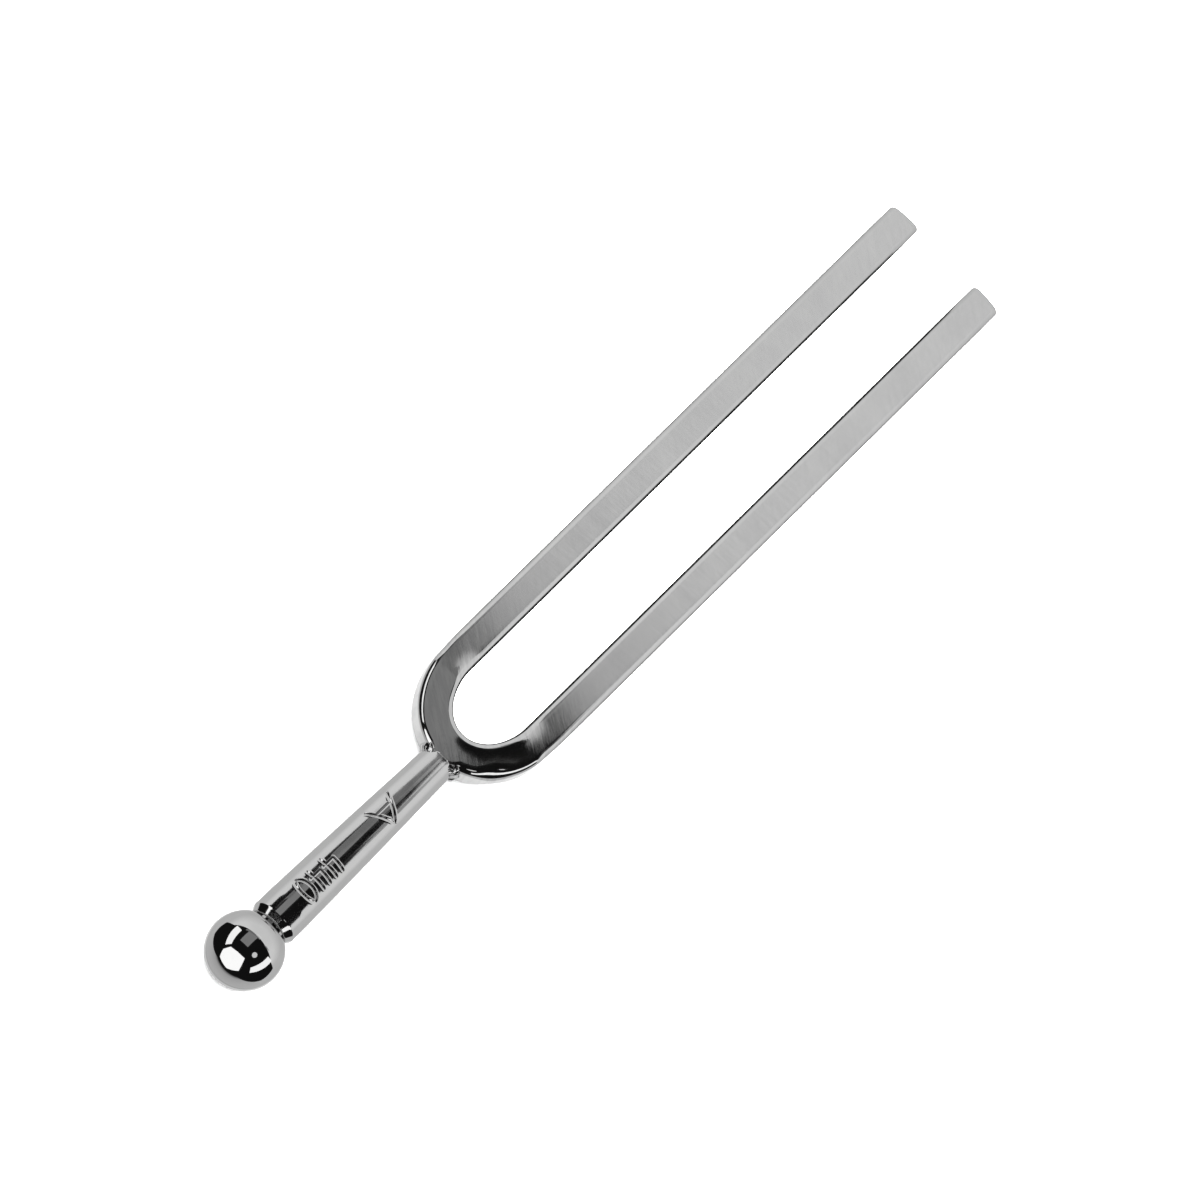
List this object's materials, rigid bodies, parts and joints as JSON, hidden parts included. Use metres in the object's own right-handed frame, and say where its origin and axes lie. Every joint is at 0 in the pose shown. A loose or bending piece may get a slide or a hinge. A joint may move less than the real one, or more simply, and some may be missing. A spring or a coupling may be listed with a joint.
{
  "type": "tuning fork",
  "caption": "Two-pronged steel tuning fork with a tapered round stem ending in a ball foot, pitched at A 440 Hz.",
  "frame": {"origin": "centre of the whole fork's box: on the stem's axis, midway between the ball's far side and the prong tips, halfway through the bar's depth", "axes": "+X along the stem's axis from the ball foot to the prong tips, +Y across the two prongs, +Z the normal of the bar's flat faces, on the side that carries the stamped pitch mark"},
  "size_m": [0.12, 0.0164, 0.0088],
  "materials": {
    "nickel_satin": "steel bar, cross-ground flat faces and rounded edges, nickel plated, satin",
    "nickel_turned": "turned steel, nickel plated, bright with fine turning lines",
    "nickel_polished": "polished steel ball, nickel plated, mirror bright",
    "nickel_weld": "fused steel fillet under the same nickel plating, bright and slightly lumpy"
  },
  "bodies": {
    "root": {"fork_bar": "nickel_satin", "stem": "nickel_turned", "ball": "nickel_polished", "weld_bead_left": "nickel_weld", "weld_bead_right": "nickel_weld"}
  },
  "joints": []
}
